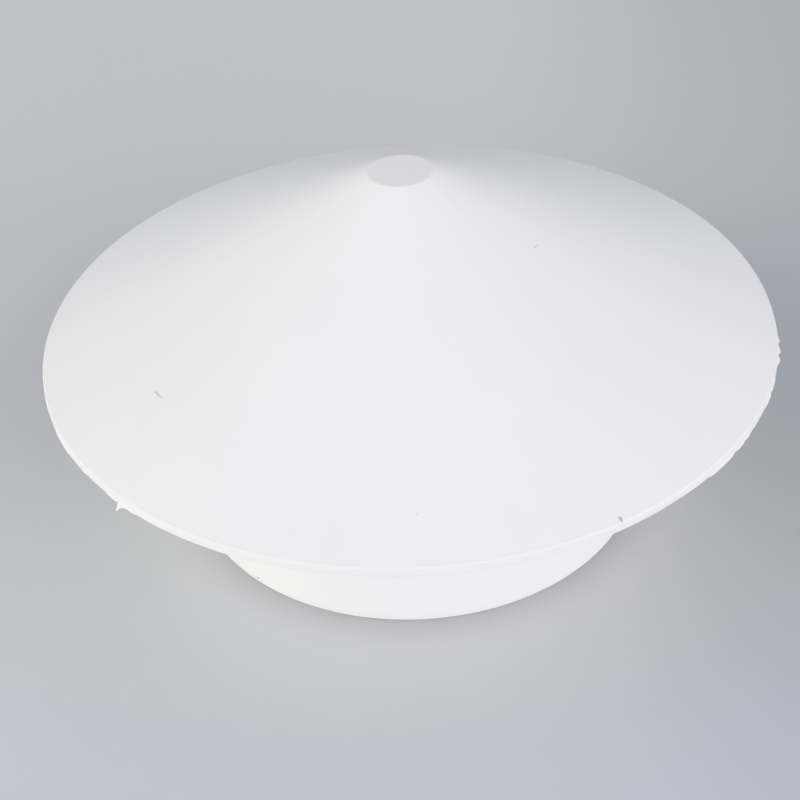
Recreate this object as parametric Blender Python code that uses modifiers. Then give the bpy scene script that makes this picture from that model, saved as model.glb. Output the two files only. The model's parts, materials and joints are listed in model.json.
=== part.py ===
"""Vent pipe cap: a one-piece plastic hat that slips over the open end of a vent pipe.

A shallow cone with a flat tip sheds the rain. Under it a plain collar slips over the pipe, and
between the two a ring of posts and windows lets the air out below the brim. Each post has a web
on its inner side that stiffens it and stops the pipe. It is all one moulding, so it is one object.

The origin is the centre of the collar's foot. +Z is the pipe's axis and points up to the tip.
"""

import math

import bmesh
import bpy
from mathutils import Matrix, Vector

MM = 0.001
COLLECTION_NAME = "vent pipe cap"
CUTTER_COLLECTION_NAME = "cutters"

# Cone and brim
RIM_RADIUS = 90.0 * MM
RIM_HEIGHT = 44.8 * MM  # the brim's lower edge above the collar's foot
RIM_DRAFT = math.radians(5)  # the brim's edge leans in towards its top
RIM_TOP_ROUND = 2.0 * MM
RIM_FOOT_ROUND = 0.1 * MM
CONE_SLOPE = math.radians(26.8)
CONE_WALL = 1.9 * MM
TIP_RADIUS = 7.65 * MM  # the flat at the top of the cone
TIP_WALL = 2.2 * MM
TIP_ROUND = 1.5 * MM

# Collar, which slips over a 110 mm pipe
BORE_RADIUS = 55.2 * MM
COLLAR_WALL = 2.6 * MM
DRAFT = math.radians(0.4)  # the moulding narrows towards its foot outside and widens inside
FOOT_ROUND = 0.2 * MM
LEAD_IN_WIDTH = 0.6 * MM
LEAD_IN_HEIGHT = 1.5 * MM
OUTER_ROOT_ROUND = 1.2 * MM  # fillets where the collar's line meets the cone
INNER_ROOT_ROUND = 2.0 * MM

# Windows between the posts
WINDOW_COUNT = 8
FIRST_WINDOW_ANGLE = 0.0
POST_WIDTH = 7.0 * MM  # across a post's outer face
WINDOW_SILL = 30.0 * MM
WINDOW_HEAD_BAND = 2.6 * MM  # what is left between a window and the cone
WINDOW_CORNER = 3.0 * MM

# Webs on the inner side of the posts
WEB_THICKNESS = 2.4 * MM
WEB_FOOT_DEPTH = 5.0 * MM  # how far it stands in from the bore, where it stops the pipe
WEB_HEAD_DEPTH = 8.5 * MM
WEB_LAP = 3.0 * MM  # how far it reaches down the collar's wall below the window sill
WEB_CORNER = 1.5 * MM
WEB_EDGE_ROUND = 0.5 * MM

# Burr left on the brim's lower edge where the moulding was trimmed: a thin flake, narrow at its tip
BURR_ANGLE = math.radians(-135.5)
BURR_PITCH = math.radians(59)  # how steeply it hangs down as it stands out
BURR_THICKNESS = 0.5 * MM
BURR_WIDTH = 2.65 * MM  # along the brim's lower edge
BURR_LENGTH = 1.85 * MM
BURR_LEAN = 0.5 * MM  # how far its tip leans along the brim
BURR_TIP_WIDTH = 0.35 * MM
BURR_TIP_SLANT = 0.2 * MM
BURR_NECK = 1.2 * MM  # its width where its hollow side turns down to the tip
BURR_HEEL = 0.5 * MM  # how far that place is from the brim
BURR_HOLLOW = 0.6 * MM
BURR_TIP_ROUND = 0.1 * MM
BURR_EDGE_ROUND = 0.08 * MM
BURR_ROOT = 1.0 * MM  # how deep it is rooted in the brim

# How finely round shapes are divided
SEGMENTS = 112
ARC_STEP = math.radians(30)
EDGE_ROUND_SEGMENTS = 2
SMOOTH_ANGLE = math.radians(35)
WELD_DISTANCE = 0.001 * MM
CUTTER_MARGIN = 2.5 * MM
LARGEST_CORNER_SHARE = 0.45  # of a window's height
ROUNDED_EDGE_ANGLE = math.radians(60)

PLASTIC_COLOUR = (0.84, 0.84, 0.86, 1.0)
PLASTIC_ROUGHNESS = 0.38

# Sizes that follow from those above
RIM_EDGE = CONE_WALL / math.cos(CONE_SLOPE)
COLLAR_RADIUS = BORE_RADIUS + COLLAR_WALL
SECTOR = 2 * math.pi / WINDOW_COUNT


def cone_underside(radius):
    """Height of the cone's lower surface at a distance from the axis."""
    return RIM_HEIGHT + (RIM_RADIUS - radius) * math.tan(CONE_SLOPE)


def cone_top(radius):
    return cone_underside(radius) + RIM_EDGE


def underside_radius(height):
    """Distance from the axis at which the cone's lower surface has this height."""
    return RIM_RADIUS - (height - RIM_HEIGHT) / math.tan(CONE_SLOPE)


def rim_top_radius():
    """Distance from the axis at which the brim's leaning edge meets the cone's upper surface."""
    lean = math.tan(RIM_DRAFT)
    return RIM_RADIUS - lean * RIM_EDGE / (1 - lean * math.tan(CONE_SLOPE))


def root_point(foot_radius, growth):
    """Where a wall that leans by growth from its foot meets the cone's lower surface."""
    slope = math.tan(CONE_SLOPE)
    height = (RIM_HEIGHT + (RIM_RADIUS - foot_radius) * slope) / (1 + growth * slope)
    return foot_radius + growth * height, height


def corner_arc(before, corner, after, radius):
    """Points of the arc that rounds one corner of an outline."""
    if radius == 0:
        return [corner]
    back = (before - corner).normalized()
    ahead = (after - corner).normalized()
    half = back.angle(ahead) / 2
    centre = corner + (back + ahead).normalized() * radius / math.sin(half)
    first = corner + back * radius / math.tan(half) - centre
    turn = math.copysign(math.pi - 2 * half, (corner - before).cross(after - corner))
    steps = max(2, math.ceil(abs(turn) / ARC_STEP))
    return [centre + Matrix.Rotation(turn * k / steps, 2) @ first for k in range(steps + 1)]


def rounded_outline(corners, closed):
    """Points of an outline given by its corners, each (across, up, radius of its rounding)."""
    places = [Vector(corner[:2]) for corner in corners]
    points = []
    for i, corner in enumerate(corners):
        if closed or 0 < i < len(corners) - 1:
            after = places[(i + 1) % len(places)]
            points += corner_arc(places[i - 1], places[i], after, corner[2])
        else:
            points.append(places[i])
    return points


def cap_section():
    """Half section of the cone and collar: out along the top, down to the foot, up the bore."""
    tip_height = cone_top(TIP_RADIUS)
    ceiling = tip_height - TIP_WALL
    growth = math.tan(DRAFT)
    outer_root = root_point(COLLAR_RADIUS, growth)
    inner_root = root_point(BORE_RADIUS, -growth)
    return rounded_outline(
        [
            (0, tip_height, 0),
            (TIP_RADIUS, tip_height, TIP_ROUND),
            (rim_top_radius(), cone_top(rim_top_radius()), RIM_TOP_ROUND),
            (RIM_RADIUS, RIM_HEIGHT, RIM_FOOT_ROUND),
            (*outer_root, OUTER_ROOT_ROUND),
            (COLLAR_RADIUS, 0, FOOT_ROUND),
            (BORE_RADIUS + LEAD_IN_WIDTH, 0, 0),
            (BORE_RADIUS - growth * LEAD_IN_HEIGHT, LEAD_IN_HEIGHT, 0),
            (*inner_root, INNER_ROOT_ROUND),
            (underside_radius(ceiling), ceiling, 0),
            (0, ceiling, 0),
        ],
        closed=False,
    )


def turned(name, section):
    """A closed body of revolution about Z, as a Screw modifier on its half section."""
    mesh = bpy.data.meshes.new(name)
    edges = [(i, i + 1) for i in range(len(section) - 1)]
    mesh.from_pydata([(point.x, 0, point.y) for point in section], edges, [])
    body = bpy.data.objects.new(name, mesh)
    screw = body.modifiers.new("turn", "SCREW")
    screw.steps = SEGMENTS
    screw.render_steps = SEGMENTS
    screw.use_merge_vertices = True
    screw.merge_threshold = WELD_DISTANCE
    return body


def plate(name, outline, thickness, collection):
    """A flat plate: a filled outline, extruded by half its thickness each way, as a mesh."""
    curve = bpy.data.curves.new(name, "CURVE")
    curve.dimensions = "2D"
    curve.fill_mode = "BOTH"
    curve.extrude = thickness / 2
    spline = curve.splines.new("POLY")
    spline.points.add(len(outline) - 1)
    for spline_point, point in zip(spline.points, outline):
        spline_point.co = (point.x, point.y, 0, 1)
    spline.use_cyclic_u = True
    drawn = bpy.data.objects.new(name + " outline", curve)
    collection.objects.link(drawn)
    graph = bpy.context.evaluated_depsgraph_get()
    mesh = bpy.data.meshes.new_from_object(drawn.evaluated_get(graph))
    bpy.data.objects.remove(drawn)
    solid = bmesh.new()
    solid.from_mesh(mesh)
    bmesh.ops.remove_doubles(solid, verts=solid.verts, dist=WELD_DISTANCE)
    bmesh.ops.recalc_face_normals(solid, faces=solid.faces)
    solid.to_mesh(mesh)
    solid.free()
    return mesh


def as_cutter(name, mesh, collection, placing):
    """An object that a Boolean uses: drawn as wire and never rendered."""
    cutter = bpy.data.objects.new(name, mesh)
    cutter.matrix_world = placing
    cutter.hide_render = True
    cutter.display_type = "WIRE"
    collection.objects.link(cutter)
    return cutter


def round_edges(body, radius):
    rounding = body.modifiers.new("edges", "BEVEL")
    rounding.width = radius
    rounding.segments = EDGE_ROUND_SEGMENTS
    rounding.limit_method = "ANGLE"
    rounding.angle_limit = ROUNDED_EDGE_ANGLE


def standing_out(angle):
    """A frame whose X points out, whose Y is up and whose Z runs round the cap."""
    upright = Matrix.Rotation(math.pi / 2, 4, "X")
    return Matrix.Rotation(angle, 4, "Z") @ upright


def facing_out(angle, radius):
    """A frame whose X runs round the cap, whose Y is up and whose Z points out, at that radius."""
    out = Vector((math.cos(angle), math.sin(angle), 0))
    return Matrix.Translation(out * radius) @ standing_out(angle) @ Matrix.Rotation(math.pi / 2, 4, "Y")


def window_cutters(collection):
    """One plate with rounded corners for each window, which cuts through the wall."""
    outer, outer_height = root_point(COLLAR_RADIUS, math.tan(DRAFT))
    inner = root_point(BORE_RADIUS, -math.tan(DRAFT))[0]
    head = outer_height - WINDOW_HEAD_BAND
    half_width = outer * math.sin(SECTOR / 2 - math.asin(POST_WIDTH / 2 / outer))
    corner = min(WINDOW_CORNER, LARGEST_CORNER_SHARE * (head - WINDOW_SILL))
    outline = rounded_outline(
        [
            (-half_width, WINDOW_SILL, corner),
            (half_width, WINDOW_SILL, corner),
            (half_width, head, corner),
            (-half_width, head, corner),
        ],
        closed=True,
    )
    near = math.sqrt(inner**2 - half_width**2) - CUTTER_MARGIN / 2
    far = outer + CUTTER_MARGIN
    mesh = plate("window", outline, far - near, collection)
    for k in range(WINDOW_COUNT):
        placing = facing_out(FIRST_WINDOW_ANGLE + k * SECTOR, (near + far) / 2)
        as_cutter(f"window {k + 1}", mesh, collection, placing)


def post_webs(collection):
    """One upright web for each post, rooted in the post, the collar and the cone."""
    outer = BORE_RADIUS + COLLAR_WALL / 2
    foot = WINDOW_SILL - WEB_LAP
    foot_inner = BORE_RADIUS - WEB_FOOT_DEPTH
    head_inner = BORE_RADIUS - WEB_HEAD_DEPTH
    root = RIM_EDGE / 2
    outline = rounded_outline(
        [
            (outer, foot, 0),
            (outer, cone_underside(outer) + root, 0),
            (head_inner, cone_underside(head_inner) + root, 0),
            (foot_inner, foot, WEB_CORNER),
        ],
        closed=True,
    )
    mesh = plate("web", outline, WEB_THICKNESS, collection)
    for k in range(WINDOW_COUNT):
        placing = standing_out(FIRST_WINDOW_ANGLE + (k + 0.5) * SECTOR)
        web = as_cutter(f"web {k + 1}", mesh, collection, placing)
        round_edges(web, WEB_EDGE_ROUND)


def trimming_burr(collection):
    """A thin flake of flash that hangs out and down from the brim's lower edge."""
    left = -BURR_WIDTH / 2
    tip = left + BURR_LEAN
    outline = rounded_outline(
        [
            (left, -BURR_ROOT, 0),
            (-left, -BURR_ROOT, 0),
            (-left, 0, 0),
            (left + BURR_NECK, BURR_HEEL, BURR_HOLLOW),
            (tip + BURR_TIP_WIDTH, BURR_LENGTH - BURR_TIP_SLANT, BURR_TIP_ROUND),
            (tip, BURR_LENGTH, BURR_TIP_ROUND),
            (left, 0, 0),
        ],
        closed=True,
    )
    mesh = plate("burr", outline, BURR_THICKNESS, collection)
    corner = Matrix.Translation((0, 0, RIM_HEIGHT)) @ facing_out(BURR_ANGLE, RIM_RADIUS)
    placing = corner @ Matrix.Rotation(math.pi / 2 + BURR_PITCH, 4, "X")
    burr = as_cutter("burr", mesh, collection, placing)
    round_edges(burr, BURR_EDGE_ROUND)
    return burr


def white_plastic():
    material = bpy.data.materials.new("white plastic")
    material.use_nodes = True
    shader = material.node_tree.nodes["Principled BSDF"]
    shader.inputs["Base Color"].default_value = PLASTIC_COLOUR
    shader.inputs["Roughness"].default_value = PLASTIC_ROUGHNESS
    shader.inputs["Metallic"].default_value = 0.0
    return material


def boolean(body, operation, operand):
    """Adds a Boolean with one object, or with every object of a collection."""
    modifier = body.modifiers.new(operand.name, "BOOLEAN")
    modifier.operation = operation
    modifier.solver = "EXACT"
    if isinstance(operand, bpy.types.Collection):
        modifier.operand_type = "COLLECTION"
        modifier.collection = operand
    else:
        modifier.object = operand


def new_collection(name, parent):
    collection = bpy.data.collections.new(name)
    parent.children.link(collection)
    return collection


def finished(body):
    """Takes the modifiers' result as the body's own mesh and shades it smooth between edges."""
    graph = bpy.context.evaluated_depsgraph_get()
    mesh = bpy.data.meshes.new_from_object(body.evaluated_get(graph))
    body.modifiers.clear()
    body.data = mesh
    mesh.name = body.name
    mesh.shade_smooth()
    mesh.set_sharp_from_angle(angle=SMOOTH_ANGLE)
    mesh.materials.clear()
    mesh.materials.append(white_plastic())
    return body


def vent_cap(parts, cutters):
    windows = new_collection("windows", cutters)
    webs = new_collection("webs", cutters)
    window_cutters(windows)
    post_webs(webs)
    cap = turned("vent_cap", cap_section())
    parts.objects.link(cap)
    boolean(cap, "DIFFERENCE", windows)
    boolean(cap, "UNION", webs)
    boolean(cap, "UNION", trimming_burr(cutters))
    return finished(cap)


def main():
    for old in list(bpy.data.objects):
        bpy.data.objects.remove(old)
    scene = bpy.context.scene.collection
    parts = new_collection(COLLECTION_NAME, scene)
    cutters = new_collection(CUTTER_COLLECTION_NAME, scene)
    vent_cap(parts, cutters)


main()
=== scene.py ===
"""Looks of the vent pipe cap: one satin white moulding, drawn finer than its CAD solid.

The skin of the cap is one closed mesh. Hat and collar are rings about Z; the throat is made of
loops round each window. Directions round the cap are given as an azimuth in degrees: 0 is -Y, the
side that faces the camera, and 90 is +X. Lengths are in metres, written in millimetres times MM.
"""

import json
import math

import bmesh
import bpy
import numpy as np
from mathutils import Euler, Matrix, Vector

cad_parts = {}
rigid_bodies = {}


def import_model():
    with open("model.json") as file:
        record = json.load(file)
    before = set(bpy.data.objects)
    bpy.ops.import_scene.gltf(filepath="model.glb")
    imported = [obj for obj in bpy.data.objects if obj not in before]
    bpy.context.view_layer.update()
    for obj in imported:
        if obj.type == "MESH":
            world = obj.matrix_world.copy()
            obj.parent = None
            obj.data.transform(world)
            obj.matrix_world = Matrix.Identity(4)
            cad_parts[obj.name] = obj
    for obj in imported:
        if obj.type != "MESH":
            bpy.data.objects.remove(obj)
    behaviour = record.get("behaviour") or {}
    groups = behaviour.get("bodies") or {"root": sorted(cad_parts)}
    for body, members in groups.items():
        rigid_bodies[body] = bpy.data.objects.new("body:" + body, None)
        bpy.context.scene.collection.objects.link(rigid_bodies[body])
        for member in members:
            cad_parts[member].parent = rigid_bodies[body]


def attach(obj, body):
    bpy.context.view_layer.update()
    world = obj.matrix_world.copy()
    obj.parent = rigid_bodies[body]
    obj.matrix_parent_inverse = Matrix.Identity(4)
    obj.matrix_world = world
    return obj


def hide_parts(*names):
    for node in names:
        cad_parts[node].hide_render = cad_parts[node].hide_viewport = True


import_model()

MM = 0.001

# The cap's sizes, the same as in its CAD source
RIM_RADIUS = 90.0 * MM
RIM_HEIGHT = 44.8 * MM
RIM_DRAFT = math.radians(5)
RIM_FOOT_ROUND = 0.1 * MM
CONE_SLOPE = math.radians(26.8)
CONE_WALL = 1.9 * MM
TIP_RADIUS = 7.65 * MM
TIP_WALL = 2.2 * MM
TIP_ROUND = 1.5 * MM
BORE_RADIUS = 55.2 * MM
COLLAR_WALL = 2.6 * MM
DRAFT = math.radians(0.4)
FOOT_ROUND = 0.2 * MM
LEAD_IN_WIDTH = 0.6 * MM
LEAD_IN_HEIGHT = 1.5 * MM
OUTER_ROOT_ROUND = 1.2 * MM
INNER_ROOT_ROUND = 2.0 * MM
WINDOW_COUNT = 8
POST_WIDTH = 7.0 * MM
WINDOW_SILL = 30.0 * MM
WINDOW_HEAD_BAND = 2.6 * MM
WINDOW_CORNER = 3.0 * MM
WEB_THICKNESS = 2.4 * MM
WEB_FOOT_DEPTH = 5.0 * MM
WEB_HEAD_DEPTH = 8.5 * MM
WEB_LAP = 3.0 * MM
WEB_CORNER = 1.5 * MM
WEB_EDGE_ROUND = 0.5 * MM

# Finer forms that only the looks have
RIM_TOP_ROUND = 0.8 * MM  # the solid has 2.0, but the photograph's light on this edge is narrow
BRIM_DROP = 0.2 * MM  # how much the cone's wall thins from the tip to the brim
WINDOW_EDGE_ROUND = 0.4 * MM
LEAD_IN_ROUND = 0.15 * MM
CEILING_ROUND = 1.0 * MM

# Flash and nicks along the brim's lower edge: from, to (azimuth), how far the edge stands out
# there, and over how many degrees it rises and falls
RIM_FLAWS = (
    (-67.5, -60.0, 0.14 * MM, 2.0, 1.5),
    (-55.0, -49.0, -0.20 * MM, 0.5, 0.8),
    (-48.6, -46.6, 0.14 * MM, 0.8, 0.3),
    (-44.9, -42.1, 0.27 * MM, 0.3, 1.1),
    (44.3, 51.2, 0.34 * MM, 1.0, 0.8),
    (51.2, 54.5, 0.25 * MM, 1.2, 0.8),
    (54.5, 56.6, 0.18 * MM, 0.6, 0.6),
    (57.0, 60.0, 0.10 * MM, 1.0, 1.0),
    (62.0, 66.8, 0.24 * MM, 2.4, 1.2),
    (67.0, 70.9, 0.15 * MM, 0.5, 1.2),
    (71.2, 73.9, -0.10 * MM, 1.0, 0.6),
    (73.6, 76.4, 0.42 * MM, 1.2, 1.0),
    (76.5, 79.5, 0.52 * MM, 0.8, 2.2),
    (79.5, 81.8, 0.48 * MM, 0.7, 1.4),
)
RIM_FLAW_HEIGHT = 0.8 * MM  # how far up the brim a flaw fades out

# Slight waves of the brim: how many go round it, and at which angle each begins
RIM_WAVES = ((7, 0.4), (13, 2.1), (31, 4.0), (53, 1.2))
RIM_WAVE_HEIGHT = 0.025 * MM

# Where the whole brim is a little flat, in the same terms as a flaw
BRIM_FLAT = (77.0, 121.0, -0.3 * MM, 10.0, 24.0)
BRIM_FLAT_START = 78.0 * MM  # how near the axis the flat begins

# The burr that hangs from the brim
BURR_AZIMUTH = -45.5
BURR_PITCH = math.radians(59)
BURR_THICKNESS = 0.5 * MM
BURR_WIDTH = 2.65 * MM
BURR_LENGTH = 1.85 * MM
BURR_LEAN = 0.05 * MM
BURR_TIP_WIDTH = 0.35 * MM
BURR_TIP_SLANT = 0.2 * MM
BURR_NECK = 1.2 * MM
BURR_HEEL = 0.5 * MM
BURR_HOLLOW = 0.6 * MM
BURR_TIP_ROUND = 0.1 * MM
BURR_EDGE_ROUND = 0.08 * MM
BURR_ROOT = 1.0 * MM

# Specks on the cone: azimuth, distance from the axis, width round the cap, length up the slope
CONE_SPECKS = (
    (28.1, 89.15 * MM, 0.8 * MM, 1.4 * MM),
    (62.8, 33.8 * MM, 0.8 * MM, 0.5 * MM),
    (64.3, 33.9 * MM, 0.8 * MM, 0.35 * MM),
    (-61.5, 58.9 * MM, 0.5 * MM, 0.25 * MM),
)
COLLAR_SPECK = (-43.75, 1.2 * MM, 0.42 * MM)  # azimuth, height, size
SPECK_HEIGHT = 0.1 * MM
SPECK_LUMPS = 0.18  # how much a speck swells and shrinks, as a share of its size
SPECK_DIVISIONS = 3

# The lint fibre on the cone
FIBRE_AZIMUTH = -55.95
FIBRE_SWEEP = 2.7  # degrees
FIBRE_RADIUS = 69.62 * MM
FIBRE_SAG = 0.1 * MM
FIBRE_HEIGHT = 0.04 * MM
FIBRE_WIDTH = 0.6 * MM
FIBRE_TIP = 0.15 * MM
FIBRE_STEPS = 12
FIBRE_SIDES = 8

# How finely the skin is divided
COARSE_PER_WINDOW = 64
SIDE_STEPS = 36
CORNER_STEPS = 6
FINE_STEP = 0.5  # degrees
DAMAGE_STEP = 0.125
DAMAGED_SPANS = ((44.0, 84.0), (304.0, 319.0))  # the second is -56 to -41
TIP_SEGMENTS = 128
FIRST_AZIMUTH = -22.5  # the middle of a post
ROUND_STEPS = 6
EDGE_STEPS = 4
PATCH_BLENDS = (0.0, 0.35, 0.7)
TUNNEL_BLENDS = (0.33, 0.67)
MERGE_DISTANCE = 0.001 * MM
SMOOTH_ANGLE = math.radians(38)
PLATE_EDGE_ANGLE = math.radians(60)  # a plate's edges sharper than this are rounded

# Where the skin's rings lie: distances from the axis, heights, and shares of a width or height
TIP_SHARES = (0.35, 0.7)
TIP_RINGS = np.array((10, 13, 16)) * MM
CONE_RINGS = np.array((19, 26, 34, 43, 52, 61, 69, 75, 79, 82, 85, 87, 88.5)) * MM
BRIM_SHARES = (0.25, 0.45, 0.65, 0.85)
UNDERSIDE_RINGS = np.array((89.5, 89, 88, 85, 80, 74, 68, 64)) * MM
THROAT_RING = 61.5 * MM
COLLAR_RINGS = np.array((20, 13, 6)) * MM
HOLLOW_RINGS = np.array((48, 40, 32, 24, 18)) * MM
CEILING_RING = 15 * MM

# A noise seldom leaves the middle of its range, so this share of it is stretched to two tones
NOISE_SPAN = (0.3, 0.7)
NARROW_SPAN = (0.35, 0.65)

# White plastic. Scales are in features per metre.
CLOUD_SCALE = 22.0
CLOUD_TONES = ((0.835, 0.835, 0.85), (0.855, 0.855, 0.865))
CLOUD_ROUGHNESS = (0.46, 0.54)
FLOW_SCALE = 9.0
FLOW_RISE = 7.0  # how fast the flow marks change with height
FLOW_TONE = (0.83, 0.83, 0.845)
FLOW_SHARE = 0.5
FLOW_HEIGHT = 0.05 * MM
DUST_SCALE = 150.0
DUST_SPAN = (0.012, 0.03)  # where a grain of dust fades out, as a share of its cell
DUST_THRESHOLD = 0.8  # cells whose chance number lies above this hold a grain
DUST_TONE = (0.6, 0.59, 0.57)
GRAIN_SCALE = 900.0
GRAIN_HEIGHT = 0.01 * MM
PLASTIC_BUMP = 0.25
PLASTIC_IOR = 1.53
PLASTIC_SPECULAR = 0.25
PAINTED_SHADE_EDGE_SPAN = (89.0 * MM, 89.8 * MM)  # where the brim's edge is painted darker: painted shade that tones down the light on its face and rounding
PAINTED_SHADE_EDGE_TONE = (0.80, 0.80, 0.81)

# Lint and dirt: the darker and the lighter tone of each
BEIGE_LINT = ((0.69, 0.66, 0.62), (0.77, 0.74, 0.70))
BROWN_DIRT = ((0.52, 0.49, 0.45), (0.64, 0.61, 0.57))
PALE_DIRT = ((0.64, 0.64, 0.65), (0.72, 0.72, 0.73))
DARK_DIRT = ((0.10, 0.10, 0.10), (0.20, 0.20, 0.20))
DIRT_SCALE = 4000.0
DIRT_HEIGHT = 0.05 * MM
DIRT_BUMP = 0.5
DIRT_ROUGHNESS = 0.85

# The floor
FLOOR_REACH = 3.0
FLOOR_DROP = 0.05 * MM  # keeps the floor off the collar's foot, so that the two don't flicker
FLOOR_ROUGHNESS = 0.7
FLOOR_SPECULAR = 0.2
FLOOR_DRIFT_SCALE = 2.5

# The floor's tone, and the painted light and shade it is multiplied by: painted shade on the
# right, a painted tint of light in front, a painted pool of light round one place on the left and
# a painted contact shadow at the cap's foot. A span says where that sets in and where it is full.
FLOOR_TONES = ((0.627, 0.634, 0.650), (0.652, 0.660, 0.675))
FLOOR_RIGHT_PAINTED_SHADE = (0.77, 0.80, 0.82)
FLOOR_RIGHT_PAINTED_SHADE_SPAN = (21.0 * MM, 191.0 * MM)  # along X
FLOOR_FRONT_PAINTED_LIGHT = (0.98, 0.995, 1.06)
FLOOR_FRONT_PAINTED_LIGHT_SPAN = (-21.0 * MM, -108.0 * MM)  # along Y
FLOOR_PAINTED_LIGHT_POOL = (1.20, 1.20, 1.18)
FLOOR_PAINTED_LIGHT_POOL_PLACE = (-160.0 * MM, -28.0 * MM, 0.0)
FLOOR_PAINTED_LIGHT_POOL_SPAN = (178.0 * MM, 0.0)  # from that place
FLOOR_PAINTED_FOOT_SHADOW = (0.76, 0.75, 0.765)
FLOOR_PAINTED_FOOT_SHADOW_SPAN = (71.2 * MM, 57.8 * MM)  # from the cap's axis

# Camera, from a fit of the photograph's outlines
CAMERA_PLACE = Vector((0.0, -324.75, 268.47)) * MM
CAMERA_TURN = (52.718, 2.733, -1.524)  # degrees about X, Y and Z
CAMERA_LENS = 71.26  # like the sensor's width, in the millimetres that Blender takes
SENSOR = 36.0

# Soft light as in a tent: patches that are bright at the sides and the front corners, and dim
# behind and above. Each has its azimuth, height above the horizon, strength and tint.
WARM = (1.02, 1.0, 0.83)
COOL = (1.06, 1.0, 1.04)
SKY_PATCHES = (
    (45, 12, 2.65, COOL),
    (90, 12, 2.5, WARM),
    (135, 12, 0.25, WARM),
    (-135, 12, 0.7, WARM),
    (-90, 12, 2.6, WARM),
    (-45, 12, 2.65, WARM),
    (0, 48, 0.5, WARM),
    (180, 48, 0.25, WARM),
)
SKY_PATCH_FADE = 8.0  # the power of the cosine by which a patch fades from its middle
SKY = (0.10, 0.12, 0.24)
BACKDROP = (0.52, 0.53, 0.57)  # what the camera sees beyond the floor


def smooth_step(x):
    x = np.clip(x, 0.0, 1.0)
    return x * x * (3 - 2 * x)


def direction(azimuth, rise):
    """The way out at an azimuth, lifted by rise; both in degrees."""
    turn, lift = math.radians(azimuth), math.radians(rise)
    level = math.cos(lift)
    return Vector((math.sin(turn) * level, -math.cos(turn) * level, math.sin(lift)))


def growth():
    """How much the collar's wall leans per metre of height."""
    return math.tan(DRAFT)


def cone_underside(radius):
    return RIM_HEIGHT + (RIM_RADIUS - radius) * math.tan(CONE_SLOPE)


def cone_top(radius):
    """The cone's upper surface. Its wall thins a little from the tip to the brim."""
    share = (radius - TIP_RADIUS) / (RIM_RADIUS - TIP_RADIUS)
    return cone_underside(radius) + CONE_WALL / math.cos(CONE_SLOPE) - BRIM_DROP * max(share, 0)


def on_cone(azimuth, radius, above=0.0):
    turn = math.radians(azimuth)
    height = cone_top(radius) + above
    return Vector((radius * math.sin(turn), -radius * math.cos(turn), height))


def rim_top_radius():
    """Distance from the axis at which the brim's leaning edge meets the cone's upper surface."""
    lean = math.tan(RIM_DRAFT)
    return RIM_RADIUS - lean * CONE_WALL / math.cos(CONE_SLOPE) / (1 - lean * math.tan(CONE_SLOPE))


def outer_radius(height):
    return BORE_RADIUS + COLLAR_WALL + growth() * height


def inner_radius(height):
    return BORE_RADIUS - growth() * height


def root_point(foot_radius, lean):
    """Where a wall that leans from its foot meets the cone's lower surface."""
    slope = math.tan(CONE_SLOPE)
    height = (RIM_HEIGHT + (RIM_RADIUS - foot_radius) * slope) / (1 + lean * slope)
    return Vector((foot_radius + lean * height, height))


def corner_arc(before, corner, after, radius, steps):
    """Points of the arc that rounds one corner, as (out, up) vectors."""
    before, corner, after = Vector(before), Vector(corner), Vector(after)
    back = (before - corner).normalized()
    ahead = (after - corner).normalized()
    half = back.angle(ahead) / 2
    centre = corner + (back + ahead).normalized() * radius / math.sin(half)
    first = corner + back * radius / math.tan(half) - centre
    turn = math.copysign(math.pi - 2 * half, (corner - before).cross(after - corner))
    return [centre + Matrix.Rotation(turn * k / steps, 2) @ first for k in range(steps + 1)]


def rounded_outline(corners):
    """Points of a closed outline. Each corner is (across, up, radius of its rounding)."""
    places = [Vector(corner[:2]) for corner in corners]
    points = []
    for i, (place, corner) in enumerate(zip(places, corners)):
        if corner[2] == 0:
            points.append(place)
        else:
            after = places[(i + 1) % len(places)]
            points += corner_arc(places[i - 1], place, after, corner[2], ROUND_STEPS)
    return points


def stretch(turns, start, end, height, rise, fall):
    """How far something stands out at each azimuth, if it rises and falls softly at its ends."""
    return height * smooth_step((turns - start) / rise) * smooth_step((end - turns) / fall)


def rim_offset(turns):
    """How far the brim's lower edge stands out at each azimuth, for its flaws and slight waves."""
    offset = sum(stretch(turns, *flaw) for flaw in RIM_FLAWS)
    for count, begin in RIM_WAVES:
        offset += RIM_WAVE_HEIGHT * np.sin(np.radians(turns) * count + begin)
    return offset


def even_azimuths(count):
    return FIRST_AZIMUTH + np.arange(count) * 360 / count


def fine_azimuths():
    """Azimuths of the hat's rings: even, and closer together where the brim is damaged."""
    azimuths = [FIRST_AZIMUTH]
    while azimuths[-1] < FIRST_AZIMUTH + 360:
        here = azimuths[-1]
        damaged = any(low <= here < high for low, high in DAMAGED_SPANS)
        azimuths.append(here + (DAMAGE_STEP if damaged else FINE_STEP))
    return np.array(azimuths[:-1])


def ring_points(azimuths, radii, height):
    angles = np.radians(azimuths)
    radii = np.broadcast_to(radii, angles.shape)
    heights = np.full(angles.shape, height)
    return np.stack([radii * np.sin(angles), -radii * np.cos(angles), heights], axis=1)


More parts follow.
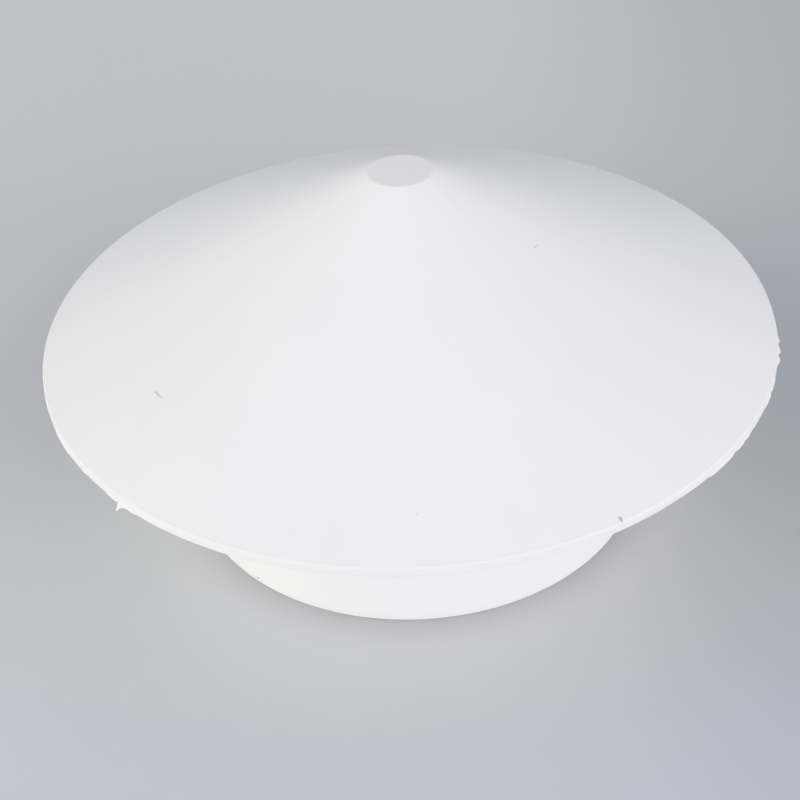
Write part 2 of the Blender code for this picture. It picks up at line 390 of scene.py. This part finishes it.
class Skin:
    """Points and faces of one mesh, gathered ring by ring."""

    def __init__(self):
        self.points = []
        self.faces = []

    def add(self, points):
        first = len(self.points)
        self.points.extend(tuple(map(float, point)) for point in points)
        return list(range(first, len(self.points)))

    def band(self, one, other):
        """Faces between two closed loops with as many points."""
        for i in range(len(one)):
            j = (i + 1) % len(one)
            self.faces.append((one[i], one[j], other[j], other[i]))

    def bands(self, loops):
        for one, other in zip(loops, loops[1:]):
            self.band(one, other)

    def fan(self, loop, centre):
        middle = self.add([centre])[0]
        for i in range(len(loop)):
            self.faces.append((loop[i], loop[(i + 1) % len(loop)], middle))

    def stitch(self, one, one_azimuths, other, other_azimuths):
        """Triangles between two rings whose points stand at different azimuths."""
        i = j = 0
        one_ends = list(one_azimuths[1:]) + [FIRST_AZIMUTH + 360]
        other_ends = list(other_azimuths[1:]) + [FIRST_AZIMUTH + 360]
        while i < len(one) or j < len(other):
            a, b = one[i % len(one)], other[j % len(other)]
            if j == len(other) or (i < len(one) and one_ends[i] <= other_ends[j]):
                i += 1
                self.faces.append((a, one[i % len(one)], b))
            else:
                j += 1
                self.faces.append((a, other[j % len(other)], b))

    def mesh(self, name):
        mesh = bpy.data.meshes.new(name)
        mesh.from_pydata(self.points, [], self.faces)
        work = bmesh.new()
        work.from_mesh(mesh)
        bmesh.ops.remove_doubles(work, verts=work.verts, dist=MERGE_DISTANCE)
        bmesh.ops.recalc_face_normals(work, faces=work.faces)
        work.to_mesh(mesh)
        work.free()
        return mesh


def tip_rings(skin):
    """The flat tip and the start of the cone. Returns the ring that the hat goes on from."""
    azimuths = even_azimuths(TIP_SEGMENTS)
    top = cone_top(TIP_RADIUS)
    corner, brim = (TIP_RADIUS, top), (RIM_RADIUS, cone_top(RIM_RADIUS))
    section = [Vector((share * TIP_RADIUS, top)) for share in TIP_SHARES]
    section += corner_arc((0, top), corner, brim, TIP_ROUND, EDGE_STEPS)
    section += [Vector((radius, cone_top(radius))) for radius in TIP_RINGS]
    rings = [skin.add(ring_points(azimuths, point.x, point.y)) for point in section]
    skin.fan(rings[0], (0, 0, top))
    skin.bands(rings)
    return rings[-1]


def hat_rings(skin, tip_ring):
    """The cone's top, the brim and the underside. Returns the last ring and its azimuths."""
    azimuths = fine_azimuths()
    turns = (azimuths + 180) % 360 - 180
    edge, flat = rim_offset(turns), stretch(turns, *BRIM_FLAT)
    rim_top = (rim_top_radius(), cone_top(rim_top_radius()))
    rim_foot = (RIM_RADIUS, RIM_HEIGHT)
    section = [Vector((radius, cone_top(radius))) for radius in CONE_RINGS]
    section += corner_arc((0, cone_top(0)), rim_top, rim_foot, RIM_TOP_ROUND, ROUND_STEPS)
    foot = corner_arc(rim_top, rim_foot, (0, cone_underside(0)), RIM_FOOT_ROUND, EDGE_STEPS)
    face = section[-1]
    section += [face.lerp(foot[0], share) for share in BRIM_SHARES]
    section += foot
    section += [Vector((radius, cone_underside(radius))) for radius in UNDERSIDE_RINGS]
    rings = []
    for point in section:
        low = smooth_step(1 - (point.y - RIM_HEIGHT) / RIM_FLAW_HEIGHT)
        out = smooth_step((point.x - BRIM_FLAT_START) / (RIM_RADIUS - BRIM_FLAT_START))
        radii = point.x + edge * low + flat * out
        rings.append(skin.add(ring_points(azimuths, radii, point.y)))
    skin.stitch(tip_ring, even_azimuths(TIP_SEGMENTS), rings[0], azimuths)
    skin.bands(rings)
    return rings[-1], azimuths


def window_sizes():
    """Half width and head height of a window, and its corner's radius."""
    outer, outer_height = root_point(BORE_RADIUS + COLLAR_WALL, growth())
    half_width = outer * math.sin(math.pi / WINDOW_COUNT - math.asin(POST_WIDTH / 2 / outer))
    return half_width, outer_height - WINDOW_HEAD_BAND, WINDOW_CORNER


def window_outline(offset):
    """(across, up) points round a window, moved out by offset, from its lower left corner."""
    half_width, head, corner = window_sizes()
    right = half_width - corner
    low, high = WINDOW_SILL + corner, head - corner
    centres = [(-right, low), (right, low), (right, high), (-right, high)]
    radius = corner + offset
    points = []
    for side in range(4):
        count = COARSE_PER_WINDOW if side % 2 == 0 else SIDE_STEPS
        first, last = Vector(centres[side]), Vector(centres[(side + 1) % 4])
        facing = math.radians(90 * side - 90)
        for k in range(count):
            along = min(max((k - CORNER_STEPS) / (count - 2 * CORNER_STEPS), 0), 1)
            bend = min(k - CORNER_STEPS, 0) + max(k - count + CORNER_STEPS, 0)
            angle = facing + bend * math.radians(45) / CORNER_STEPS
            way_out = Vector((math.cos(angle), math.sin(angle)))
            points.append(first.lerp(last, along) + way_out * radius)
    return points


def sector_outline(face_radius, low, high):
    """(across, up) points round one window's share of the wall, in step with window_outline."""
    half = 180 / WINDOW_COUNT
    points = []
    for side in range(4):
        count = COARSE_PER_WINDOW if side % 2 == 0 else SIDE_STEPS
        for k in range(count):
            share = k / count
            turn = ((2 * share - 1) * half, half, (1 - 2 * share) * half, -half)[side]
            up = (low, low + (high - low) * share, high, high - (high - low) * share)[side]
            points.append(Vector((face_radius(up) * math.sin(math.radians(turn)), up)))
    return points


def on_wall(points, face_radius, inset):
    """(across, out, up) of outline points put on a wall and then moved in from its face."""
    return [(p.x, math.sqrt(face_radius(p.y) ** 2 - p.x**2) - inset, p.y) for p in points]


def window_loops(outer_high, inner_high, low):
    """Loops from the outer face of the wall, through one window, to its inner face."""
    rounding = [math.pi / 2 * k / EDGE_STEPS for k in range(EDGE_STEPS + 1)]
    faces = []
    for face_radius, high, side in ((outer_radius, outer_high, 1), (inner_radius, inner_high, -1)):
        border = sector_outline(face_radius, low, high)
        near = window_outline(WINDOW_EDGE_ROUND)
        loops = []
        for blend in PATCH_BLENDS:
            blended = [b.lerp(n, blend) for b, n in zip(border, near)]
            loops.append(on_wall(blended, face_radius, 0))
        for angle in rounding:
            outline = window_outline(WINDOW_EDGE_ROUND * (1 - math.sin(angle)))
            inset = side * WINDOW_EDGE_ROUND * (1 - math.cos(angle))
            loops.append(on_wall(outline, face_radius, inset))
        faces.append(loops)
    outer, inner = faces
    tunnel = []
    for blend in TUNNEL_BLENDS:
        ends = zip(outer[-1], inner[-1])
        tunnel.append([tuple(Vector(a).lerp(Vector(b), blend)) for a, b in ends])
    return outer + tunnel + inner[::-1]


def throat(skin, outer_high, inner_high, low):
    """The wall between collar and cone, with its windows."""
    loops = window_loops(outer_high, inner_high, low)
    for k in range(WINDOW_COUNT):
        turn = 2 * math.pi * k / WINDOW_COUNT
        out = Vector((math.sin(turn), -math.cos(turn), 0))
        across = Vector((math.cos(turn), math.sin(turn), 0))
        placed = []
        for loop in loops:
            points = [across * a + out * o + Vector((0, 0, up)) for a, o, up in loop]
            placed.append(skin.add(points))
        skin.bands(placed)


def lower_rings(skin, hat_ring, hat_azimuths):
    """From the cone's underside down the collar, round its foot, up the bore, to the ceiling."""
    azimuths = even_azimuths(COARSE_PER_WINDOW * WINDOW_COUNT)
    lean = growth()
    outer_root = root_point(BORE_RADIUS + COLLAR_WALL, lean)
    inner_root = root_point(BORE_RADIUS, -lean)
    below = (BORE_RADIUS + COLLAR_WALL, 0)
    rim_foot = (RIM_RADIUS, RIM_HEIGHT)
    outer_fillet = corner_arc(rim_foot, outer_root, below, OUTER_ROOT_ROUND, ROUND_STEPS)
    peak = (0, cone_underside(0))
    inner_fillet = corner_arc((BORE_RADIUS, 0), inner_root, peak, INNER_ROOT_ROUND, ROUND_STEPS)
    low = WINDOW_SILL - WEB_LAP
    throat(skin, outer_fillet[-1].y, inner_fillet[0].y, low)

    def coarse(section):
        rings = [skin.add(ring_points(azimuths, point[0], point[1])) for point in section]
        skin.bands(rings)
        return rings

    upper = coarse([(THROAT_RING, cone_underside(THROAT_RING)), *outer_fillet])
    skin.stitch(hat_ring, hat_azimuths, upper[0], azimuths)

    heights = (low, *COLLAR_RINGS)
    collar_corner = (outer_radius(0), 0)
    lead_in_foot = (BORE_RADIUS + LEAD_IN_WIDTH, 0)
    lead_in_top = (inner_radius(LEAD_IN_HEIGHT), LEAD_IN_HEIGHT)
    section = [(outer_radius(height), height) for height in heights]
    section += corner_arc(section[-1], collar_corner, lead_in_foot, FOOT_ROUND, ROUND_STEPS)
    section += corner_arc(collar_corner, lead_in_foot, lead_in_top, LEAD_IN_ROUND, EDGE_STEPS)
    above = (inner_radius(low), low)
    section += corner_arc(lead_in_foot, lead_in_top, above, LEAD_IN_ROUND, EDGE_STEPS)
    section += [(inner_radius(height), height) for height in heights[::-1]]
    coarse(section)

    ceiling = cone_top(TIP_RADIUS) - TIP_WALL
    edge = RIM_RADIUS - (ceiling - RIM_HEIGHT) / math.tan(CONE_SLOPE)
    slope = [(radius, cone_underside(radius)) for radius in HOLLOW_RINGS]
    last = coarse([*inner_fillet, *slope])[-1]
    tip_azimuths = even_azimuths(TIP_SEGMENTS)
    centre = [Vector((CEILING_RING, cone_underside(CEILING_RING)))]
    centre += corner_arc(rim_foot, (edge, ceiling), (0, ceiling), CEILING_ROUND, EDGE_STEPS)
    centre.append(Vector((edge / 2, ceiling)))
    rings = [skin.add(ring_points(tip_azimuths, point.x, point.y)) for point in centre]
    skin.stitch(last, azimuths, rings[0], tip_azimuths)
    skin.bands(rings)
    skin.fan(rings[-1], (0, 0, ceiling))


def plate(name, outline, thickness, edge_round, placing, collection):
    """A plate with rounded edges, which a Boolean joins to the cap and which then goes."""
    skin = Skin()
    sides = [skin.add([(p.x, p.y, z) for p in outline]) for z in (-thickness / 2, thickness / 2)]
    skin.bands(sides)
    skin.faces += [tuple(sides[0][::-1]), tuple(sides[1])]
    made = bpy.data.objects.new(name, skin.mesh(name))
    made.matrix_world = placing
    collection.objects.link(made)
    rounding = made.modifiers.new("edges", "BEVEL")
    rounding.width = edge_round
    rounding.segments = EDGE_STEPS
    rounding.limit_method = "ANGLE"
    rounding.angle_limit = PLATE_EDGE_ANGLE


def webs(collection):
    """One upright web on the inner side of each post. Its X points out and its Y is up."""
    outer = BORE_RADIUS + COLLAR_WALL / 2
    root = CONE_WALL / math.cos(CONE_SLOPE) / 2
    foot = WINDOW_SILL - WEB_LAP
    head = BORE_RADIUS - WEB_HEAD_DEPTH
    outline = rounded_outline(
        [
            (outer, foot, 0),
            (outer, cone_underside(outer) + root, 0),
            (head, cone_underside(head) + root, 0),
            (BORE_RADIUS - WEB_FOOT_DEPTH, foot, WEB_CORNER),
        ]
    )
    upright = Matrix.Rotation(math.pi / 2, 4, "X")
    for k in range(WINDOW_COUNT):
        turn = math.radians(180 / WINDOW_COUNT + k * 360 / WINDOW_COUNT)
        placing = Matrix.Rotation(turn, 4, "Z") @ upright
        plate(f"web {k}", outline, WEB_THICKNESS, WEB_EDGE_ROUND, placing, collection)


def burr(collection):
    """The flake of flash on the brim. Its X runs round the cap and its Y points out and down."""
    left = -BURR_WIDTH / 2
    tip = left + BURR_LEAN
    outline = rounded_outline(
        [
            (left, -BURR_ROOT, 0),
            (-left, -BURR_ROOT, 0),
            (-left, 0, 0),
            (left + BURR_NECK, BURR_HEEL, BURR_HOLLOW),
            (tip + BURR_TIP_WIDTH, BURR_LENGTH - BURR_TIP_SLANT, BURR_TIP_ROUND),
            (tip, BURR_LENGTH, BURR_TIP_ROUND),
            (left, 0, 0),
        ]
    )
    turn = Matrix.Rotation(math.radians(BURR_AZIMUTH), 4, "Z")
    corner = turn @ Matrix.Translation((0, -RIM_RADIUS, RIM_HEIGHT))
    placing = corner @ Matrix.Rotation(math.pi + BURR_PITCH, 4, "X")
    plate("burr", outline, BURR_THICKNESS, BURR_EDGE_ROUND, placing, collection)


def joined(body, additions):
    """Joins the additions to the body with one exact Boolean and takes the result as its mesh."""
    union = body.modifiers.new("join", "BOOLEAN")
    union.operation = "UNION"
    union.solver = "EXACT"
    union.operand_type = "COLLECTION"
    union.collection = additions
    graph = bpy.context.evaluated_depsgraph_get()
    mesh = bpy.data.meshes.new_from_object(body.evaluated_get(graph))
    body.modifiers.clear()
    body.data = mesh
    for helper_object in list(additions.objects):
        bpy.data.objects.remove(helper_object)
    bpy.data.collections.remove(additions)
    return mesh


def cap(material):
    """The cap itself, which stands for the CAD node."""
    skin = Skin()
    tip_ring = tip_rings(skin)
    hat_ring, hat_azimuths = hat_rings(skin, tip_ring)
    lower_rings(skin, hat_ring, hat_azimuths)
    body = bpy.data.objects.new("cap_moulding", skin.mesh("cap_moulding"))
    bpy.context.scene.collection.objects.link(body)
    additions = bpy.data.collections.new("additions")
    bpy.context.scene.collection.children.link(additions)
    webs(additions)
    burr(additions)
    mesh = joined(body, additions)
    mesh.name = "cap_moulding"
    mesh.shade_smooth()
    mesh.set_sharp_from_angle(angle=SMOOTH_ANGLE)
    mesh.materials.clear()
    mesh.materials.append(material)
    normals = body.modifiers.new("normals", "WEIGHTED_NORMAL")
    normals.keep_sharp = True
    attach(body, "root")
    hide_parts("vent_cap")


class Nodes:
    """The node tree of a material or a world, with short ways to add and link nodes."""

    def __init__(self, owner, shader="Principled BSDF", place="Object"):
        owner.use_nodes = True
        self.owner = owner
        self.tree = owner.node_tree
        self.shader = self.tree.nodes[shader]
        self.place = self.add("ShaderNodeTexCoord").outputs[place]

    def add(self, kind, **settings):
        made = self.tree.nodes.new(kind)
        for name, value in settings.items():
            setattr(made, name, value)
        return made

    def link(self, value, socket):
        """Joins a socket to another one, or sets it to a number, a vector or a colour."""
        if isinstance(value, bpy.types.NodeSocket):
            self.tree.links.new(value, socket)
        elif socket.type == "RGBA":
            socket.default_value = (*value, 1)
        else:
            socket.default_value = value

    def parts(self):
        """The place's X, Y and Z, by their names."""
        made = self.add("ShaderNodeSeparateXYZ")
        self.link(self.place, made.inputs[0])
        return made.outputs

    def math(self, operation, one, other=0.0):
        made = self.add("ShaderNodeMath", operation=operation)
        self.link(one, made.inputs[0])
        self.link(other, made.inputs[1])
        return made.outputs[0]

    def vector(self, operation, one, other, output="Vector"):
        made = self.add("ShaderNodeVectorMath", operation=operation)
        self.link(one, made.inputs[0])
        self.link(other, made.inputs[1])
        return made.outputs[output]

    def noise(self, vector, scale, detail=2.0, roughness=0.5):
        made = self.add("ShaderNodeTexNoise")
        self.link(vector, made.inputs["Vector"])
        self.link(scale, made.inputs["Scale"])
        self.link(detail, made.inputs["Detail"])
        self.link(roughness, made.inputs["Roughness"])
        return made.outputs["Fac"]

    def span(self, value, low, high, to_low=0.0, to_high=1.0, ease="LINEAR"):
        """Value, taken from one range to another and held within it."""
        made = self.add("ShaderNodeMapRange", clamp=True, interpolation_type=ease)
        self.link(value, made.inputs["Value"])
        names = ("From Min", "From Max", "To Min", "To Max")
        for name, number in zip(names, (low, high, to_low, to_high)):
            self.link(number, made.inputs[name])
        return made.outputs["Result"]

    def mix(self, factor, one, other, blend="MIX"):
        """One colour, mixed with the other by the factor."""
        made = self.add("ShaderNodeMix", data_type="RGBA", blend_type=blend)
        self.link(factor, made.inputs["Factor"])
        self.link(one, made.inputs[6])
        self.link(other, made.inputs[7])
        return made.outputs[2]

    def bump(self, height, distance, strength, under=None):
        """A normal with the height's relief, on top of another relief where one is given."""
        made = self.add("ShaderNodeBump")
        self.link(distance, made.inputs["Distance"])
        self.link(strength, made.inputs["Strength"])
        self.link(height, made.inputs["Height"])
        if under is not None:
            self.link(under, made.inputs["Normal"])
        return made.outputs["Normal"]

    def set(self, **values):
        """Sets the shader's sockets, named with an underscore for each space."""
        for name, value in values.items():
            self.link(value, self.shader.inputs[name.replace("_", " ")])


def white_plastic():
    """Satin white vinyl: nearly even, with faint clouds, flow marks, dust, fine grain and painted
    shade on the brim's edge.
    """
    nodes = Nodes(bpy.data.materials.new("white_plastic"))
    clouds = nodes.noise(nodes.place, CLOUD_SCALE, detail=3.0)
    tone = nodes.mix(nodes.span(clouds, *NOISE_SPAN), *CLOUD_TONES)

    parts = nodes.parts()
    flat = nodes.add("ShaderNodeCombineXYZ")
    nodes.link(parts["X"], flat.inputs["X"])
    nodes.link(parts["Y"], flat.inputs["Y"])
    way_out = nodes.vector("NORMALIZE", flat.outputs[0], (0, 0, 0))
    lift = nodes.add("ShaderNodeCombineXYZ")
    nodes.link(nodes.math("MULTIPLY", parts["Z"], FLOW_RISE), lift.inputs["Z"])
    along_flow = nodes.vector("ADD", way_out, lift.outputs[0])
    flow = nodes.noise(along_flow, FLOW_SCALE, detail=4.0, roughness=0.6)
    tone = nodes.mix(nodes.span(flow, *NOISE_SPAN, 0.0, FLOW_SHARE), tone, FLOW_TONE)

    # Painted shade: the brim's outer edge is darkened so that the light on its face and rounding
    # looks dimmer
    from_axis = nodes.vector("DISTANCE", flat.outputs[0], (0, 0, 0), "Value")
    edge = nodes.span(from_axis, *PAINTED_SHADE_EDGE_SPAN, ease="SMOOTHSTEP")
    tone = nodes.mix(edge, tone, PAINTED_SHADE_EDGE_TONE)

    dust = nodes.add("ShaderNodeTexVoronoi")
    nodes.link(nodes.place, dust.inputs["Vector"])
    nodes.link(DUST_SCALE, dust.inputs["Scale"])
    near = nodes.span(dust.outputs["Distance"], *DUST_SPAN, 1.0, 0.0)
    chance = nodes.add("ShaderNodeSeparateColor")
    nodes.link(dust.outputs["Color"], chance.inputs[0])
    rare = nodes.math("GREATER_THAN", chance.outputs[0], DUST_THRESHOLD)
    tone = nodes.mix(nodes.math("MULTIPLY", near, rare), tone, DUST_TONE)

    marks = nodes.bump(flow, FLOW_HEIGHT, PLASTIC_BUMP)
    grain = nodes.noise(nodes.place, GRAIN_SCALE)
    nodes.set(
        Base_Color=tone,
        Roughness=nodes.span(clouds, *NOISE_SPAN, *CLOUD_ROUGHNESS),
        Normal=nodes.bump(grain, GRAIN_HEIGHT, PLASTIC_BUMP, marks),
        IOR=PLASTIC_IOR,
        Specular_IOR_Level=PLASTIC_SPECULAR,
    )
    return nodes.owner


def dirt(name, dark, light):
    nodes = Nodes(bpy.data.materials.new(name))
    mottle = nodes.noise(nodes.place, DIRT_SCALE, detail=3.0)
    nodes.set(
        Base_Color=nodes.mix(nodes.span(mottle, *NARROW_SPAN), dark, light),
        Normal=nodes.bump(mottle, DIRT_HEIGHT, DIRT_BUMP),
        Roughness=DIRT_ROUGHNESS,
    )
    return nodes.owner


def piece(name, mesh, material):
    made = bpy.data.objects.new(name, mesh)
    mesh.shade_smooth()
    mesh.materials.append(material)
    bpy.context.scene.collection.objects.link(made)
    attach(made, "root")


def thread(name, path, widths, material):
    """A lint fibre: a thin tube along a path, with its own width at each point."""
    skin = Skin()
    rings = []
    turns = [2 * math.pi * k / FIBRE_SIDES for k in range(FIBRE_SIDES)]
    for i, (point, width) in enumerate(zip(path, widths)):
        ahead = (path[min(i + 1, len(path) - 1)] - path[max(i - 1, 0)]).normalized()
        side = ahead.cross(Vector((0, 0, 1))).normalized()
        up = side.cross(ahead)
        spokes = [side * math.cos(turn) + up * math.sin(turn) for turn in turns]
        rings.append(skin.add([point + spoke * width / 2 for spoke in spokes]))
    skin.bands(rings)
    skin.faces += [tuple(rings[0][::-1]), tuple(rings[-1])]
    piece(name, skin.mesh(name), material)


def speck(name, place, normal, width, length, material):
    """A small lump of dirt, flattened against the surface that it sticks to."""
    lump = bmesh.new()
    bmesh.ops.create_icosphere(lump, subdivisions=SPECK_DIVISIONS, radius=0.5)
    across = Vector((0, 0, 1)).cross(normal).normalized()
    up = normal.cross(across)
    for vertex in lump.verts:
        unit = vertex.co.normalized()
        one, other = 5 * unit.x + 2 * unit.y, 4 * unit.y - 3 * unit.z
        co = vertex.co * (1 + SPECK_LUMPS * math.sin(one) * math.cos(other))
        spread = place + across * co.x * width + up * co.y * length
        vertex.co = spread + normal * co.z * SPECK_HEIGHT
    mesh = bpy.data.meshes.new(name)
    lump.to_mesh(mesh)
    lump.free()
    piece(name, mesh, material)


def lint_and_dirt():
    """The fibre and the specks that the photograph shows on the cap."""
    beige = dirt("beige_lint", *BEIGE_LINT)
    brown = dirt("brown_dirt", *BROWN_DIRT)
    pale = dirt("pale_dirt", *PALE_DIRT)
    dark = dirt("dark_dirt", *DARK_DIRT)
    shares = np.linspace(0, 1, FIBRE_STEPS + 1)
    azimuths = FIBRE_AZIMUTH + shares * FIBRE_SWEEP
    radii = FIBRE_RADIUS - FIBRE_SAG * shares**3
    path = [on_cone(azimuth, radius, FIBRE_HEIGHT) for azimuth, radius in zip(azimuths, radii)]
    thread("lint_fibre", path, FIBRE_WIDTH + (FIBRE_TIP - FIBRE_WIDTH) * shares, beige)
    cone_rise = 90 - math.degrees(CONE_SLOPE)
    for number, (azimuth, radius, width, length) in enumerate(CONE_SPECKS):
        place, normal = on_cone(azimuth, radius), direction(azimuth, cone_rise)
        speck(f"speck_{number}", place, normal, width, length, brown if number == 0 else pale)
    azimuth, height, size = COLLAR_SPECK
    place = direction(azimuth, 0) * outer_radius(height) + Vector((0, 0, height))
    speck("speck_on_collar", place, direction(azimuth, 0), size, size, dark)


def pale_floor():
    """A pale floor whose tone drifts a little from place to place, with painted shade on the
    right, a painted tint of light in front, a painted pool of light on the left and a painted
    shadow round the cap's foot.
    """
    signs = ((-1, -1), (1, -1), (1, 1), (-1, 1))
    corners = [(x * FLOOR_REACH, y * FLOOR_REACH, 0) for x, y in signs]
    mesh = bpy.data.meshes.new("floor")
    mesh.from_pydata(corners, [], [(0, 1, 2, 3)])
    floor = bpy.data.objects.new("floor", mesh)
    floor.location.z = -FLOOR_DROP
    bpy.context.scene.collection.objects.link(floor)

    nodes = Nodes(bpy.data.materials.new("floor"))
    drift = nodes.noise(nodes.place, FLOOR_DRIFT_SCALE, detail=1.0)
    tone = nodes.mix(nodes.span(drift, *NOISE_SPAN), *FLOOR_TONES)
    parts = nodes.parts()
    from_painted_light_pool = nodes.vector("DISTANCE", nodes.place, FLOOR_PAINTED_LIGHT_POOL_PLACE, "Value")
    from_axis = nodes.vector("DISTANCE", nodes.place, (0, 0, 0), "Value")
    # Painted light and shade: shade on the right, a tint of light in front, a pool of light on the
    # left, a contact shadow round the cap's foot
    right = nodes.span(parts["X"], *FLOOR_RIGHT_PAINTED_SHADE_SPAN, ease="SMOOTHSTEP")
    front = nodes.span(parts["Y"], *FLOOR_FRONT_PAINTED_LIGHT_SPAN, ease="SMOOTHSTEP")
    painted_light_pool = nodes.span(from_painted_light_pool, *FLOOR_PAINTED_LIGHT_POOL_SPAN, ease="SMOOTHSTEP")
    foot = nodes.math("POWER", nodes.span(from_axis, *FLOOR_PAINTED_FOOT_SHADOW_SPAN), 2.0)
    tone = nodes.mix(right, tone, FLOOR_RIGHT_PAINTED_SHADE, "MULTIPLY")
    tone = nodes.mix(front, tone, FLOOR_FRONT_PAINTED_LIGHT, "MULTIPLY")
    tone = nodes.mix(painted_light_pool, tone, FLOOR_PAINTED_LIGHT_POOL, "MULTIPLY")
    tone = nodes.mix(foot, tone, FLOOR_PAINTED_FOOT_SHADOW, "MULTIPLY")
    nodes.set(Base_Color=tone, Roughness=FLOOR_ROUGHNESS, Specular_IOR_Level=FLOOR_SPECULAR)
    mesh.materials.append(nodes.owner)


def soft_light():
    """Light from all round: an even sky and broad patches, each fading as a power of a cosine."""
    nodes = Nodes(bpy.data.worlds.new("soft_light"), "Background", "Generated")
    total = SKY
    for azimuth, rise, strength, tint in SKY_PATCHES:
        facing = nodes.vector("DOT_PRODUCT", nodes.place, direction(azimuth, rise), "Value")
        near = nodes.math("MAXIMUM", facing, 0.0)
        colour = Vector(tint) * strength
        patch = nodes.vector("MULTIPLY", nodes.math("POWER", near, SKY_PATCH_FADE), colour)
        total = nodes.vector("ADD", patch, total)
    seen = nodes.add("ShaderNodeLightPath").outputs["Is Camera Ray"]
    nodes.set(Color=nodes.mix(seen, total, BACKDROP))
    bpy.context.scene.world = nodes.owner


def camera():
    data = bpy.data.cameras.new("camera")
    data.sensor_width = SENSOR
    data.lens = CAMERA_LENS
    made = bpy.data.objects.new("camera", data)
    made.location = CAMERA_PLACE
    made.rotation_euler = Euler([math.radians(turn) for turn in CAMERA_TURN])
    bpy.context.scene.collection.objects.link(made)
    bpy.context.scene.camera = made


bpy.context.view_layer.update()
camera()
soft_light()
pale_floor()
cap(white_plastic())
lint_and_dirt()
bpy.context.scene.view_settings.view_transform = "Standard"
